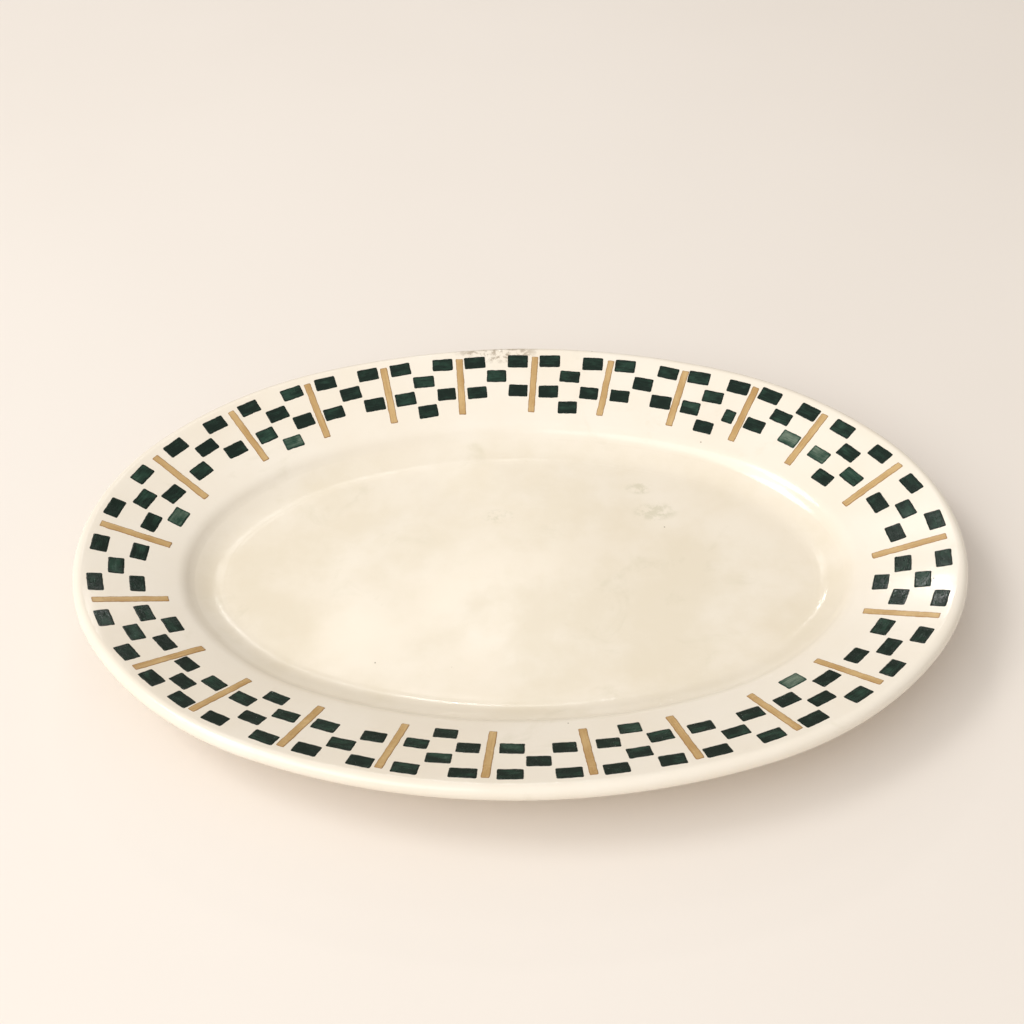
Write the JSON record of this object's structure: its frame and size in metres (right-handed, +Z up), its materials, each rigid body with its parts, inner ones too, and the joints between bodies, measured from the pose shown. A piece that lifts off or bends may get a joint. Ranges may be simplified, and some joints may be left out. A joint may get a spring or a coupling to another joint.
{
  "type": "oval serving platter",
  "caption": "Oval earthenware serving platter with a wide sloping rim, a shallow well, a low foot ring and a stencilled chequer-and-bar border under a cream glaze.",
  "frame": {"origin": "under the middle of the well, on the plane that the foot ring stands on", "axes": "+X along the platter's length, +Y across it, +Z up out of the well"},
  "size_m": [0.39, 0.274, 0.0345],
  "materials": {
    "clay": "fired buff earthenware, matt, hidden under the glaze",
    "bare_clay": "unglazed, dry and slightly worn, with the glaze wiped back from its foot",
    "glaze": "warm cream glaze, glossy, finely crazed and softly mottled",
    "green_paint": "dark teal green stencilled colour, brush-streaked, glossy",
    "ochre_paint": "translucent ochre brushed colour, darker along its edges, glossy"
  },
  "bodies": {
    "root": {"clay_body": "clay", "foot_ring": "bare_clay", "glaze_coat": "glaze", "glaze_base_panel": "glaze", "green_panel_01": "green_paint", "green_panel_02": "green_paint", "green_panel_03": "green_paint", "green_panel_04": "green_paint", "green_panel_05": "green_paint", "green_panel_06": "green_paint", "green_panel_07": "green_paint", "green_panel_08": "green_paint", "green_panel_09": "green_paint", "green_panel_10": "green_paint", "green_panel_11": "green_paint", "green_panel_12": "green_paint", "green_panel_13": "green_paint", "green_panel_14": "green_paint", "green_panel_15": "green_paint", "green_panel_16": "green_paint", "green_panel_17": "green_paint", "green_panel_18": "green_paint", "green_panel_19": "green_paint", "green_panel_20": "green_paint", "green_panel_21": "green_paint", "green_panel_22": "green_paint", "green_panel_23": "green_paint", "green_panel_24": "green_paint", "ochre_bar_01": "ochre_paint", "ochre_bar_02": "ochre_paint", "ochre_bar_03": "ochre_paint", "ochre_bar_04": "ochre_paint", "ochre_bar_05": "ochre_paint", "ochre_bar_06": "ochre_paint", "ochre_bar_07": "ochre_paint", "ochre_bar_08": "ochre_paint", "ochre_bar_09": "ochre_paint", "ochre_bar_10": "ochre_paint", "ochre_bar_11": "ochre_paint", "ochre_bar_12": "ochre_paint", "ochre_bar_13": "ochre_paint", "ochre_bar_14": "ochre_paint", "ochre_bar_15": "ochre_paint", "ochre_bar_16": "ochre_paint", "ochre_bar_17": "ochre_paint", "ochre_bar_18": "ochre_paint", "ochre_bar_19": "ochre_paint", "ochre_bar_20": "ochre_paint", "ochre_bar_21": "ochre_paint", "ochre_bar_22": "ochre_paint", "ochre_bar_23": "ochre_paint", "ochre_bar_24": "ochre_paint"}
  },
  "joints": []
}
